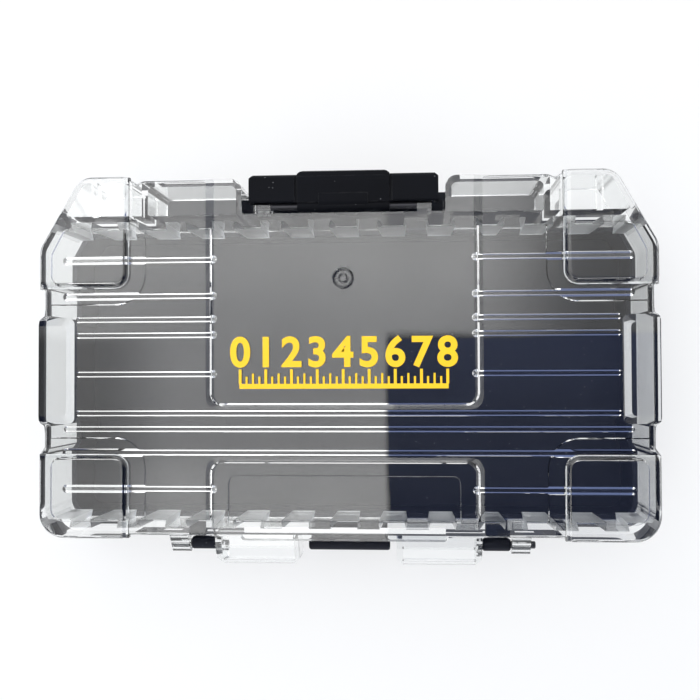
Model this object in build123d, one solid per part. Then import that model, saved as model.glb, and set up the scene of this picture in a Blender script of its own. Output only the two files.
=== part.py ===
"""Stackable tool box: a clear hinged lid on a black tray, held shut by a snap latch.

Units are millimetres. X runs along the box, Y from the latch at the front (minus)
to the hinge at the rear (plus), and Z up. The origin is in the middle of the tray,
on the flat face that the box rests on.
"""

from build123d import *
from math import cos, radians, sin, tan
import os

# Overall form
case_width = 240.0          # over the corner blocks and the side lugs
neck_inset = 2.0            # side wall between a corner block and a lug
tray_half_depth = 59.8      # inside of the lid, from the middle to front and rear wall
rim_z = 26.0                # top of the tray's rim
lid_rise = 30.0             # from the rim to the flat top of the lid
seam_depth = 3.2            # how far the lid's skirt reaches down over the rim
seam_gap = 0.2              # between the skirt and the tray's flange
rim_gap = 0.35              # between the rim and the inside of the skirt

# Walls
lid_wall = 2.4
lid_plate = 2.2
rear_wall = 2.8
base_wall = 2.0
base_floor = 3.2

# Plan of the lid
front_bay_depth = 16.2      # from the inside of the lid to the face of the front bays
corner_proud = 1.8          # corner blocks in front of the front bays
rear_proud = 1.5            # corner blocks behind the rear wall
latch_bay_half = 39.5       # half of the gap that the latch sits in
bay_split_inset = 38.6      # middle of the slot between the front bays, from the box's side
bay_split_width = 3.9
bay_split_lead = 2.6        # how far the faces of the bays bend in towards the slot
bay_split_step = 1.2
corner_lead = 4.6
bay_radius = 4.5
bay_inner_radius = 2.1
bay_web_inset = 21.7        # rib across each corner bay, from the box's side
bay_web_drop = 4.5
chamfer_angle = 29.5        # front corners, from the Y axis
chamfer_depth = 28.5        # along Y, from the front of the corner blocks
chamfer_radius = 8.0
rear_corner_radius = 10.0
front_block_length = 43.3   # from the front of the corner blocks to the neck
rear_block_length = 34.1    # from the rear of the corner blocks to the neck
lug_front_y = -22.2
lug_rear_y = 19.4
step_run = 2.8              # length over which the side wall steps in or out
block_radius = 3.0
neck_radius = 1.0
lug_radius = 2.0
rear_step_run = 2.8         # from the rear wall out to the rear of a corner block
top_edge_radius = 1.2
small_radius = 0.8
cut_past = 1.0              # how far a cut runs beyond the face it opens

# Raised fields on the lid
pad_width = 36.0            # from the box's side
pad_past_block = 1.0        # how far the neck's pads stop short of the corner block's end
pad_radius = 5.8
pad_inset = 0.5             # from the faces of the corner block
pad_rise = 2.0
pad_foot = 0.2              # upright part of a pad's edge, below the rounding
pad_edge_width = 2.8        # of the rounding along a pad's inner edge
pad_outer_share = 0.4       # the same at the outer faces, as a share of the inner edge
pad_edge_steps = 6
terrace_offset = 6.3        # fine step under the plate round each pad
terrace_depth = 0.45
well_edge = 0.5             # slanted edge of the hollow under a pad
panel_half_width = 53.7
panel_rise = 0.8
panel_side_slope = 3.4      # width of the bevel at the sides of a centre panel
panel_end_slope = 1.9
rear_panel_length = 30.4    # from the rear wall
panel_gap = 18.4            # between the two centre panels
panel_radius = 6.5
panel_field_inset = 8.9     # shallow field in the rear panel, from the panel's side
panel_field_end = 7.0
panel_field_depth = 0.3
lug_pad_width = 14.1
lug_pad_slope = 3.0
lug_pad_radius = 4.0
gate_inset = 25.3           # moulding gate mark, from the front wall
gate_rings = ((3.6, 0.6), (1.6, 0.4))       # radius and depth of each V-shaped ring
lip_half = 40.0             # finger lip along the rear edge
lip_height = 6.5
lip_depth = 5.6
lip_radius = 1.8
lip_groove_rise = 2.5       # slanted groove that lightens the lip from inside
lip_groove_end = 1.0

# Stiffening beads under the lid's plate
bead_offsets = (0.0, 15.28, 21.45, 30.6, 44.75)
bead_width = 1.3            # at the foot of its slanted flanks
bead_drop = 0.45
bead_corner_gap = 10.0      # from the box's side
bead_lug_gap = 0.5

# Divider teeth in the lid
tooth_pitch = 18.8
tooth_reach = 3.1
tooth_top_width = 11.2
tooth_rim_width = 9.4
tooth_waist = 1.5           # how much narrower a tooth is at its wall
tooth_rim_gap = 0.3

# Tray
flange_inset = 1.0          # tray's flange inside the lid's outline
flange_height = 4.8
tray_corner_radius = 4.0
front_shelf_gap = 2.5       # from the shelf's ends to the slot between the bays
front_shelf_inset = 2.2     # behind the face of the front bays
latch_shelf_past = 6.5      # beyond the gap that the latch sits in
latch_shelf_proud = 1.9     # in front of the front shelf
shelf_foot_z = 6.0
shelf_rib_pitch = 17.4
shelf_radius = 2.0
pad_recess_gap = 0.3        # over a pad of the box below
pad_recess_side = 0.5
base_edge_radius = 1.6

# Hinge
hinge_behind = 7.8          # from the rear wall to the hinge's axis
hinge_below_rim = 1.0
hinge_pin_radius = 1.5
hinge_running_gap = 0.06
barrel_radius = 2.6
barrel_end_round = 1.0
bracket_depth = 12.0
bracket_crown = 1.3         # half of the bracket's top, where it meets the barrel
bracket_under = 1.95        # below the hinge's axis
bracket_end_inset = 1.0
centre_barrel_half = 16.8
side_barrel_start = 54.6
side_barrel_end = 66.1
arm_start = 19.8
arm_end = 53.9
arm_wall = 2.2
arm_reach = 7.4             # behind the hinge's axis
arm_drop = 6.4              # below the hinge's axis
arm_rise = 12.0             # above the hinge's axis
arm_shoulder = 6.0
arm_root_height = 12.0
arm_corner = 2.6
arm_bend_radius = 2.0
knuckle_end = 73.9
knuckle_radius = 3.6
knuckle_gap = 0.3
knuckle_round = 3.4
knuckle_root_drop = 3.0
pin_inner_end = 50.4
pin_end_chamfer = 0.3
pin_shift = 2.3             # how far the pin on the -X side stands out of its knuckle

# Latch
latch_half = 36.9
latch_top_gap = 0.5         # below the flat top of the lid
latch_wall = 1.8
latch_front_radius = 2.6
latch_corner = 1.6          # cut off the front corners, seen from above
latch_rear_gap = 4.6        # from the lid's front wall
latch_cheek_drop = 16.0
latch_cheek_slant = 8.0
latch_plate_foot = 2.0      # below the rim
latch_tongue_half = 22.0
latch_tongue_foot = 15.0    # below the rim
grip_half = 16.0
grip_flare = 2.0            # how much wider the grip is at its root
grip_proud = 1.6
grip_top_drop = 0.6
grip_shoulder = 3.0
grip_scoop_drop = 9.0       # below the lid's top
grip_scoop_radius = 26.0
grip_scoop_depth = 1.2
grip_rim = 2.0
centre_dip = 0.9            # the top plate sinks this far behind the grip
slit_width = 1.0
pivot_gap = 3.3             # from the lid's front wall
pivot_drop = 4.6            # below the lid's top
latch_pin_radius = 1.5
latch_running_gap = 0.06
latch_knuckle_radius = 2.9
latch_knuckle_half = 18.0
gusset_half = 9.6
gusset_reach = 6.0
hump_reach = 3.4            # raised middle of the top plate, from the plate's rear edge
hump_front_drop = 0.2       # below the top plate
hump_rear_drop = 0.5
gusset_root = 1.0           # from the pin's axis to the gusset's corners in the knuckle
ear_start = 28.6
ear_end = 34.2
ear_radius = 2.1
ear_root_drop = 7.0
catch_half = 18.0
catch_reach = 1.0
catch_drop = 8.4            # below the rim
catch_height = 2.0
catch_lead = 1.0
catch_pocket_depth = 1.5
catch_gap = 0.35
nose_height = 2.4
nose_root = 0.6
fine_radius = 0.3

# Worked out from the sizes above
half_width = case_width / 2
lid_top_z = rim_z + lid_rise
seam_z = rim_z - seam_depth
lid_under_z = lid_top_z - lid_plate
front_wall_y = -tray_half_depth - lid_wall
bay_front_y = -tray_half_depth - front_bay_depth
corner_front_y = bay_front_y - corner_proud
rear_face_y = tray_half_depth + rear_wall
rear_corner_y = rear_face_y + rear_proud
chamfer_rear_y = corner_front_y + chamfer_depth
front_block_end_y = corner_front_y + front_block_length
rear_block_start_y = rear_corner_y - rear_block_length
bay_split_x = half_width - bay_split_inset
bay_web_x = half_width - bay_web_inset
pad_edge_x = half_width - pad_width
front_pad_y = front_block_end_y + pad_past_block
rear_pad_y = rear_block_start_y + pad_past_block
rear_panel_y = rear_face_y - rear_panel_length
front_panel_y = rear_panel_y - panel_gap
gate_y = front_wall_y + gate_inset
bead_corner_end = half_width - bead_corner_gap
teeth_each_way = int((half_width - lid_wall) / tooth_pitch)
flange_z = seam_z - seam_gap
rim_inset = lid_wall + rim_gap
tray_inset = rim_inset + base_wall
rim_half_depth = tray_half_depth - rim_gap
tray_wall_y = rim_half_depth - base_wall
front_shelf_half = bay_split_x - front_shelf_gap
front_shelf_y = bay_front_y + front_shelf_inset
latch_shelf_half = latch_bay_half + latch_shelf_past
latch_shelf_y = front_shelf_y - latch_shelf_proud
hinge_y = rear_face_y + hinge_behind
hinge_z = rim_z - hinge_below_rim
arm_rear_y = hinge_y + arm_reach
arm_foot_z = hinge_z - arm_drop
arm_ridge_z = hinge_z + arm_rise
arm_shoulder_z = hinge_z + arm_shoulder
pin_length = knuckle_end - pin_inner_end
latch_top_z = lid_top_z - latch_top_gap
latch_front_y = corner_front_y
latch_inner_y = latch_front_y + latch_wall
latch_rear_y = front_wall_y - latch_rear_gap
latch_plate_foot_z = rim_z - latch_plate_foot
latch_tongue_foot_z = rim_z - latch_tongue_foot
pivot_y = front_wall_y - pivot_gap
pivot_z = lid_top_z - pivot_drop
catch_z = rim_z - catch_drop


def face_of(points):
    """Flat face from (x, y, corner radius) points."""
    corners = [(x, y) for x, y, radius in points]
    radii = [radius for x, y, radius in points]
    return make_face(FilletPolyline(*corners, radius=radii, close=True))


def mirrored(right_side):
    """Closed list of points from its +X side, front to rear."""
    left_side = [(-x, y, radius) for x, y, radius in reversed(right_side)]
    return right_side + left_side


def prism(face, low, high):
    """Straight prism of a flat face between two heights."""
    return extrude(Pos(0, 0, low) * face, amount=high - low)


def block(x_low, x_high, y_low, y_high, z_low, z_high):
    """Plain block between six coordinates."""
    size = (x_high - x_low, y_high - y_low, z_high - z_low)
    middle = ((x_high + x_low) / 2, (y_high + y_low) / 2, (z_high + z_low) / 2)
    return Pos(*middle) * Box(*size)


def both_sides(solid):
    """The solid and its mirror image across the YZ plane."""
    return [solid, mirror(solid, about=Plane.YZ)]


def rod(radius, x_low, x_high, y, z):
    """Cylinder along X."""
    middle = Pos((x_low + x_high) / 2, y, z)
    return middle * Rot(0, 90, 0) * Cylinder(radius, x_high - x_low)


def side_section(points, x_low, x_high):
    """Prism along X of (y, z, corner radius) points."""
    face = Plane.YZ.offset(x_low) * face_of(points)
    return extrude(face, amount=x_high - x_low)


def stacked(outlines, heights):
    """Solid with flat sides through one outline after another, going up."""
    return loft([Pos(0, 0, z) * face_of(line) for line, z in zip(outlines, heights)], ruled=True)


def chamfer_x(y, inset):
    """Where the front corner's slant, moved in by inset, lies at this Y."""
    slope = tan(radians(chamfer_angle))
    return half_width - inset / cos(radians(chamfer_angle)) + (y - chamfer_rear_y) * slope


def side_run(inset):
    """Side wall from the front slant to the rear corner block, with its steps."""
    wide = half_width - inset
    narrow = wide - neck_inset
    slant = inset * tan(radians(chamfer_angle / 2))
    return [
        (wide, chamfer_rear_y + slant, chamfer_radius - inset),
        (wide, front_block_end_y - step_run / 2, block_radius),
        (narrow, front_block_end_y + step_run / 2, neck_radius),
        (narrow, lug_front_y - step_run / 4, neck_radius),
        (wide, lug_front_y + step_run / 4, lug_radius),
        (wide, lug_rear_y - step_run / 4, lug_radius),
        (narrow, lug_rear_y + step_run / 4, neck_radius),
        (narrow, rear_block_start_y - step_run / 2, neck_radius),
        (wide, rear_block_start_y + step_run / 2, block_radius),
    ]


def tray_outline(inset, front_y, rear_y):
    """The tray's plan, moved in from the lid's sides by inset."""
    front_corner = (chamfer_x(front_y, inset), front_y, tray_corner_radius)
    rear_corner = (half_width - inset, rear_y, rear_corner_radius - inset)
    return mirrored([front_corner] + side_run(inset) + [rear_corner])


def lid_outline():
    """The lid's plan, with the latch gap, the front bays and the corner blocks."""
    front = [
        (latch_bay_half, front_wall_y, neck_radius),
        (latch_bay_half, bay_front_y, bay_radius),
        (bay_split_x - bay_split_lead, bay_front_y, bay_radius),
        (bay_split_x, bay_front_y + bay_split_step, small_radius),
        (bay_split_x + corner_lead, corner_front_y, bay_radius),
        (chamfer_x(corner_front_y, 0), corner_front_y, chamfer_radius),
    ]
    rear = [
        (half_width, rear_corner_y, rear_corner_radius),
        (pad_edge_x + rear_step_run, rear_corner_y, block_radius),
        (pad_edge_x, rear_face_y, neck_radius),
    ]
    return mirrored(front + side_run(0) + rear)


def pad_outlines(reach, drawn):
    """The two raised corner pads on the +X side, reaching in by reach and drawn in outside."""
    near = pad_edge_x - reach
    wide = half_width - pad_inset - drawn
    front_y = corner_front_y + pad_inset + drawn
    rear_y = rear_corner_y - pad_inset - drawn
    front_x = chamfer_x(front_y, pad_inset + drawn)
    front_pad = [
        (near, front_y, 0.0),
        (front_x, front_y, chamfer_radius - pad_inset - drawn),
        (wide, chamfer_rear_y, chamfer_radius - pad_inset - drawn),
        (wide, front_pad_y + reach, 0.0),
        (near, front_pad_y + reach, pad_radius + reach),
    ]
    rear_pad = [
        (near, rear_pad_y - reach, pad_radius + reach),
        (wide, rear_pad_y - reach, 0.0),
        (wide, rear_y, rear_corner_radius - pad_inset - drawn),
        (near, rear_y, 0.0),
    ]
    return [front_pad, rear_pad]


def lid_pads():
    """Raised corner pads with rounded edges."""
    angles = [radians(90 * step / pad_edge_steps) for step in range(pad_edge_steps + 1)]
    foot_z = lid_top_z + pad_foot
    levels = [lid_under_z] + [foot_z + (pad_rise - pad_foot) * sin(angle) for angle in angles]
    draws = [0.0] + [pad_edge_width * (1 - cos(angle)) for angle in angles]
    pads = []
    for which in (0, 1):
        outlines = [pad_outlines(-draw, draw * pad_outer_share)[which] for draw in draws]
        pads += both_sides(stacked(outlines, levels))
    return pads


def centre_panels():
    """Front and rear centre panels and the two side lugs, with bevelled edges."""
    levels = (lid_under_z, lid_top_z + panel_rise)
    slope_share = (lid_plate + panel_rise) / panel_rise
    foot_half = panel_half_width + panel_side_slope * (slope_share - 1)
    top_half = panel_half_width - panel_side_slope
    end_grow = panel_end_slope * (slope_share - 1)
    front_y = corner_front_y - panel_rise
    rear_y = rear_corner_y + panel_rise
    top_radius = panel_radius - panel_end_slope
    front_foot = [(foot_half, front_y, 0.0), (foot_half, front_panel_y + end_grow, panel_radius)]
    front_top = [(top_half, front_y, 0.0), (top_half, front_panel_y - panel_end_slope, top_radius)]
    rear_foot = [(foot_half, rear_panel_y - end_grow, panel_radius), (foot_half, rear_y, 0.0)]
    rear_top = [(top_half, rear_panel_y + panel_end_slope, top_radius), (top_half, rear_y, 0.0)]
    fields = [
        stacked([mirrored(front_foot), mirrored(front_top)], levels),
        stacked([mirrored(rear_foot), mirrored(rear_top)], levels),
    ]
    outer = half_width + panel_rise
    lugs = []
    for slope, radius in ((-lug_pad_slope * (slope_share - 1), lug_pad_radius), (lug_pad_slope, lug_radius)):
        inner = half_width - lug_pad_width + slope
        lugs.append([
            (outer, lug_front_y + slope, 0.0),
            (outer, lug_rear_y - slope, 0.0),
            (inner, lug_rear_y - slope, radius),
            (inner, lug_front_y + slope, radius),
        ])
    return fields + both_sides(stacked(lugs, levels))


def bead_spans(y):
    """Lengths along X of the bead at this Y, on the +X side or across the middle."""
    beside_lug = lug_front_y < y < lug_rear_y
    outer_end = half_width - lug_pad_width - bead_lug_gap if beside_lug else bead_corner_end
    crosses = front_panel_y < y < rear_panel_y
    inner_end = -outer_end if crosses else panel_half_width - panel_side_slope
    return inner_end, outer_end


def beads():
    """Low ribs with slanted flanks and round ends on the underside of the lid's plate."""
    rows = sorted({offset for offset in bead_offsets} | {-offset for offset in bead_offsets})
    ribs = []
    for y in rows:
        inner_end, outer_end = bead_spans(y)
        length = outer_end - inner_end
        middle = (inner_end + outer_end) / 2
        sections = []
        for level in (-1, 1):
            grown = 2 * bead_drop * (1 + level)
            outline = SlotOverall(length + grown, bead_width + grown)
            sections.append(Pos(middle, y, lid_under_z + level * bead_drop) * outline)
        rib = loft(sections, ruled=True)
        ribs += [rib] if inner_end < 0 else both_sides(rib)
    return ribs


def tooth(side):
    """One divider tooth: wider at its face than at its wall, and tapering down."""
    sections = []
    heights = (lid_under_z + panel_rise, rim_z + tooth_rim_gap)
    for z, width in zip(heights, (tooth_top_width, tooth_rim_width)):
        back = side * (tray_half_depth + lid_wall / 2)
        front = side * (tray_half_depth - tooth_reach)
        points = [((width - tooth_waist) / 2, back, 0.0), (width / 2, front, 0.0)]
        sections.append(Pos(0, 0, z) * face_of(mirrored(points)))
    return loft(sections, ruled=True)


def teeth():
    """Both rows of teeth, trimmed to the inside of the lid."""
    mid_wall_y = tray_half_depth + lid_wall / 2
    within = prism(face_of(tray_outline(lid_wall / 2, -mid_wall_y, mid_wall_y)), 0, lid_top_z)
    rows = []
    for side in (-1, 1):
        one = tooth(side)
        for place in range(-teeth_each_way, teeth_each_way + 1):
            rows.append((Pos(place * tooth_pitch, 0, 0) * one) & within)
    return rows


def lid_pockets():
    """The hollow over the tray, the front bays and the slots between them."""
    pockets = [prism(face_of(tray_outline(lid_wall, -tray_half_depth, tray_half_depth)), 0, lid_under_z)]
    half_split = bay_split_width / 2
    bay_face = bay_front_y + lid_wall
    bay_end = bay_split_x - half_split - lid_wall
    inner_bay = [
        (latch_bay_half + lid_wall, bay_face, bay_inner_radius),
        (bay_end, bay_face, bay_inner_radius),
        (bay_end, front_wall_y, small_radius),
        (latch_bay_half + lid_wall, front_wall_y, small_radius),
    ]
    corner_face = corner_front_y + lid_wall
    bay_start = bay_split_x + half_split + lid_wall
    corner_bay = [
        (bay_start, corner_face, bay_inner_radius),
        (chamfer_x(corner_face, lid_wall), corner_face, bay_inner_radius),
        (chamfer_x(front_wall_y, lid_wall), front_wall_y, small_radius),
        (bay_start, front_wall_y, small_radius),
    ]
    web = block(
        bay_web_x - lid_wall / 2, bay_web_x + lid_wall / 2,
        corner_front_y, front_wall_y, lid_under_z - bay_web_drop, lid_under_z,
    )
    pockets += both_sides(prism(face_of(inner_bay), 0, lid_under_z))
    pockets += both_sides(prism(face_of(corner_bay), 0, lid_under_z) - web)
    slot = block(
        bay_split_x - half_split, bay_split_x + half_split,
        corner_front_y, front_wall_y, 0, lid_under_z,
    )
    pockets += both_sides(slot)
    return pockets


def well_outlines(grow):
    """The hollows under the two pads on the +X side, with their inner edges moved by grow."""
    near = pad_edge_x + lid_wall - grow
    side = half_width - 2 * lid_wall
    front_end = front_pad_y - lid_wall + grow
    rear_end = rear_pad_y + lid_wall - grow
    inside_front = -tray_half_depth + lid_wall
    inside_rear = tray_half_depth - lid_wall
    front_well = [
        (near, inside_front, small_radius),
        (chamfer_x(inside_front, 2 * lid_wall), inside_front, block_radius),
        (side, chamfer_rear_y + lid_wall, block_radius),
        (side, front_end, block_radius),
        (near, front_end, pad_radius - lid_wall + grow),
    ]
    rear_well = [
        (near, rear_end, pad_radius - lid_wall + grow),
        (side, rear_end, block_radius),
        (side, inside_rear, rear_corner_radius - 2 * lid_wall),
        (near, inside_rear, small_radius),
    ]
    return [front_well, rear_well]


def plate_pockets():
    """Hollows under the raised fields, which keep the plate one thickness."""
    front_wells = []
    rear_wells = []
    for grow in (2 * panel_rise, 0.0):
        half = panel_half_width - lid_wall + grow
        radius = panel_radius - lid_wall + grow
        front_end = front_panel_y - lid_wall + grow
        rear_end = rear_panel_y + lid_wall - grow
        front_wells.append(mirrored([(half, -tray_half_depth, 0.0), (half, front_end, radius)]))
        rear_wells.append(mirrored([(half, rear_end, radius), (half, tray_half_depth, 0.0)]))
    well_levels = (lid_under_z - panel_rise, lid_under_z + panel_rise)
    pockets = [stacked(front_wells, well_levels), stacked(rear_wells, well_levels)]
    inside = prism(face_of(tray_outline(lid_wall, -tray_half_depth, tray_half_depth)), rim_z, lid_top_z)
    step_z = lid_under_z + terrace_depth
    for which in (0, 1):
        terrace = stacked(
            [pad_outlines(terrace_offset + grow, 0)[which] for grow in (terrace_depth, -terrace_depth)],
            (lid_under_z - terrace_depth, step_z),
        )
        pockets += both_sides(terrace & inside)
        edge = stacked(
            [well_outlines(grow)[which] for grow in (2 * well_edge, 0.0)],
            (step_z - well_edge, step_z + well_edge),
        )
        pockets += both_sides(edge)
        well = prism(face_of(well_outlines(0.0)[which]), rim_z, lid_under_z + pad_rise)
        pockets += both_sides(well)
    return pockets


def hinge_arms():
    """Two broad hollow arms behind the lid, open below, with bored side plates."""
    root_y = rear_face_y - lid_wall / 2
    front_of_pin = hinge_y - knuckle_radius
    profile = [
        (root_y, arm_foot_z + arm_root_height, 0.0),
        (root_y, arm_ridge_z + arm_wall / 2, 0.0),
        (hinge_y, arm_ridge_z, arm_bend_radius),
        (arm_rear_y, arm_shoulder_z, arm_bend_radius),
        (arm_rear_y, arm_foot_z, small_radius),
        (arm_rear_y - 2 * arm_wall, arm_foot_z, 0.0),
        (front_of_pin, hinge_z - knuckle_radius, block_radius),
        (front_of_pin, hinge_z + knuckle_radius, neck_radius),
    ]
    arm = side_section(profile, arm_start, arm_end)
    plan = [
        (arm_start, root_y, 0.0),
        (arm_end, root_y, 0.0),
        (arm_end, arm_rear_y - arm_corner, 0.0),
        (arm_end - arm_corner, arm_rear_y, 0.0),
        (arm_start + arm_corner, arm_rear_y, 0.0),
        (arm_start, arm_rear_y - arm_corner, 0.0),
    ]
    arm &= prism(face_of(plan), 0, lid_top_z)
    hollow = [
        (rear_face_y, 0.0, 0.0),
        (rear_face_y, arm_ridge_z - arm_wall, 0.0),
        (hinge_y - small_radius, arm_ridge_z - arm_wall - small_radius, neck_radius),
        (arm_rear_y - arm_wall, arm_shoulder_z - arm_wall / 2, neck_radius),
        (arm_rear_y - arm_wall, 0.0, 0.0),
    ]
    arm -= side_section(hollow, arm_start + arm_wall, arm_end - arm_wall)
    knuckle_top_z = arm_ridge_z - knuckle_root_drop
    end_profile = [
        (root_y, hinge_z + knuckle_radius, 0.0),
        (root_y, knuckle_top_z, 0.0),
        (rear_face_y + arm_bend_radius, knuckle_top_z, arm_bend_radius),
        (hinge_y + knuckle_radius, hinge_z + knuckle_radius / 2, block_radius),
        (hinge_y + knuckle_radius, hinge_z - knuckle_radius, knuckle_round),
        (front_of_pin, hinge_z - knuckle_radius, knuckle_round),
        (front_of_pin, hinge_z + knuckle_radius, neck_radius),
    ]
    knuckle = side_section(end_profile, side_barrel_end + knuckle_gap, knuckle_end)
    return both_sides(arm) + both_sides(knuckle)


def latch_ears():
    """Two ears on the lid's front wall that carry the latch pin."""
    profile = [
        (front_wall_y + lid_wall / 2, pivot_z - ear_root_drop, 0.0),
        (front_wall_y + lid_wall / 2, pivot_z + ear_radius, 0.0),
        (pivot_y - ear_radius, pivot_z + ear_radius, ear_radius - small_radius / 4),
        (pivot_y - ear_radius, pivot_z - ear_radius, ear_radius - small_radius / 4),
        (front_wall_y, pivot_z - ear_root_drop + neck_radius, neck_radius),
    ]
    return both_sides(side_section(profile, ear_start, ear_end))


def gate_mark():
    """V-shaped rings on the front panel where the plastic entered the mould."""
    rings = []
    for radius, depth in gate_rings:
        corners = [(radius - 2 * depth, depth), (radius, -depth), (radius + 2 * depth, depth)]
        profile = Plane.XZ * make_face(Polyline(*corners, close=True))
        rings.append(Pos(0, gate_y, lid_top_z + panel_rise) * revolve(profile, axis=Axis.Z))
    return rings


def panel_field():
    """The shallow field in the rear panel, with slanted edges."""
    top = lid_top_z + panel_rise
    half = panel_half_width - panel_field_inset
    start = rear_panel_y + panel_field_end
    end = rear_face_y - lip_depth
    outlines = []
    for grow in (-panel_field_depth, panel_field_depth):
        corner = [(half + grow, start - grow, block_radius + grow), (half + grow, end + grow, 0.0)]
        outlines.append(mirrored(corner))
    return stacked(outlines, (top - panel_field_depth, top + panel_field_depth))


def make_lid():
    """The clear lid."""
    outline = face_of(lid_outline())
    body = prism(outline, seam_z, lid_top_z)
    body = fillet(body.edges().group_by(Axis.Z)[-1], top_edge_radius)
    trim = prism(outline, 0, 2 * lid_top_z)
    body += [field & trim for field in centre_panels()]
    body += lid_pads()
    lip = Pos(0, rear_corner_y - lip_depth / 2, 0) * RectangleRounded(2 * lip_half, lip_depth, lip_radius)
    body += prism(lip, lid_top_z - lip_height, lid_top_z + panel_rise)
    body -= lid_pockets()
    body -= plate_pockets()
    body += teeth()
    body += beads()
    body += hinge_arms()
    body += latch_ears()
    body -= panel_field()
    body -= gate_mark()
    groove_y = rear_corner_y - lid_wall
    groove = [
        (groove_y - lip_groove_rise, lid_under_z, 0.0),
        (groove_y, lid_under_z - lip_groove_rise, 0.0),
        (tray_half_depth, lid_under_z - lip_groove_rise - (groove_y - tray_half_depth), 0.0),
    ]
    body -= side_section(groove, -lip_half + lip_groove_end, lip_half - lip_groove_end)
    hinge_bore = hinge_pin_radius + hinge_running_gap
    bore_start = pin_inner_end - knuckle_gap
    body -= both_sides(rod(hinge_bore, bore_start, knuckle_end + cut_past, hinge_y, hinge_z))
    body -= rod(latch_pin_radius, -ear_end - cut_past, ear_end + cut_past, pivot_y, pivot_z)
    return body


def hinge_barrel(x_low, x_high):
    """A barrel of the tray with its bracket on the rear wall."""
    root_y = rim_half_depth - base_wall / 2
    bracket = [
        (root_y, flange_z, 0.0),
        (root_y, flange_z - bracket_depth, 0.0),
        (hinge_y + bracket_crown, hinge_z - bracket_under, small_radius),
        (hinge_y - bracket_crown, hinge_z, small_radius / 2),
        (hinge_y - barrel_radius - bracket_crown, flange_z, neck_radius),
    ]
    barrel = rod(barrel_radius, x_low, x_high, hinge_y, hinge_z)
    barrel = fillet(barrel.edges().filter_by(GeomType.CIRCLE), barrel_end_round)
    return barrel + side_section(bracket, x_low + bracket_end_inset, x_high - bracket_end_inset)


def front_shelf():
    """The ledge in front of the tray, ribbed from below, that the latch grips."""
    step_outline = mirrored([
        (latch_shelf_half, latch_shelf_y, small_radius),
        (latch_shelf_half, front_shelf_y, 0.0),
        (front_shelf_half, front_shelf_y, shelf_radius),
        (front_shelf_half, -tray_wall_y, 0.0),
    ])
    shelf = prism(face_of(step_outline), shelf_foot_z, flange_z)
    cells = int(2 * front_shelf_half / shelf_rib_pitch)
    cell_pitch = (2 * front_shelf_half - base_wall) / cells
    cell_front = front_shelf_y + base_wall
    cell_rear = -rim_half_depth - flange_inset
    for place in range(cells):
        start = -front_shelf_half + base_wall + place * cell_pitch
        shelf -= block(
            start, start + cell_pitch - base_wall, cell_front, cell_rear, 0, flange_z - base_wall,
        )
    pocket_y = latch_shelf_y + catch_pocket_depth
    shelf -= block(-latch_tongue_half, latch_tongue_half, latch_front_y, pocket_y, 0, flange_z)
    catch = [
        (pocket_y + base_wall / 2, catch_z - catch_lead, 0.0),
        (pocket_y - catch_reach, catch_z, fine_radius),
        (pocket_y - catch_reach, catch_z + catch_height / 2, fine_radius),
        (pocket_y + base_wall / 2, catch_z + catch_height, 0.0),
    ]
    return shelf + side_section(catch, -catch_half, catch_half)


def make_base():
    """The black tray."""
    lower = prism(face_of(tray_outline(rim_inset, -rim_half_depth, rim_half_depth)), 0, rim_z)
    body = fillet(lower.edges().group_by(Axis.Z)[0], base_edge_radius)
    flange_half = tray_half_depth + lid_wall - flange_inset
    flange_face = face_of(tray_outline(flange_inset, -flange_half, flange_half))
    flange = prism(flange_face, flange_z - flange_height, flange_z)
    flange -= block(-pad_edge_x, pad_edge_x, rim_half_depth, rear_corner_y, 0, rim_z)
    body += flange
    body += front_shelf()
    body -= prism(face_of(tray_outline(tray_inset, -tray_wall_y, tray_wall_y)), base_floor, rim_z)
    recess = pad_rise - panel_rise + pad_recess_gap
    for outline in pad_outlines(pad_recess_side, 0):
        body -= both_sides(prism(face_of(outline), 0, recess))
    body += hinge_barrel(-centre_barrel_half, centre_barrel_half)
    body += both_sides(hinge_barrel(side_barrel_start, side_barrel_end))
    bore_start = side_barrel_start - cut_past
    body -= both_sides(rod(hinge_pin_radius, bore_start, side_barrel_end + cut_past, hinge_y, hinge_z))
    return body


def latch_plate():
    """Front plate, top plate and side plates of the latch, as one hooked section."""
    under_z = latch_top_z - latch_wall
    section = [
        (latch_rear_y, latch_top_z, small_radius),
        (latch_front_y, latch_top_z, latch_front_radius),
        (latch_front_y, latch_plate_foot_z, small_radius),
        (latch_inner_y, latch_plate_foot_z, 0.0),
        (latch_inner_y, under_z, small_radius),
        (latch_rear_y, under_z, 0.0),
    ]
    plate = side_section(section, -latch_half, latch_half)
    cheek_front_y = latch_inner_y - latch_wall / 2
    cheek_top_z = latch_top_z - latch_wall / 2
    cheek_foot_z = lid_top_z - latch_cheek_drop
    cheek = [
        (latch_rear_y, cheek_top_z, 0.0),
        (cheek_front_y, cheek_top_z, 0.0),
        (cheek_front_y, cheek_foot_z, 0.0),
        (latch_rear_y, cheek_foot_z + latch_cheek_slant, block_radius),
    ]
    plate += both_sides(side_section(cheek, latch_half - latch_wall, latch_half))
    plan = mirrored([
        (latch_half - latch_corner, latch_front_y, 0.0),
        (latch_half, latch_front_y + latch_corner, 0.0),
        (latch_half, latch_rear_y, 0.0),
    ])
    plate &= prism(face_of(plan), 0, lid_top_z)
    tongue = [
        (latch_front_y, latch_plate_foot_z + latch_wall, 0.0),
        (latch_front_y, latch_tongue_foot_z, small_radius),
        (latch_inner_y, latch_tongue_foot_z, fine_radius),
        (latch_inner_y, latch_plate_foot_z + latch_wall, 0.0),
    ]
    plate += side_section(tongue, -latch_tongue_half, latch_tongue_half)
    return plate


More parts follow.
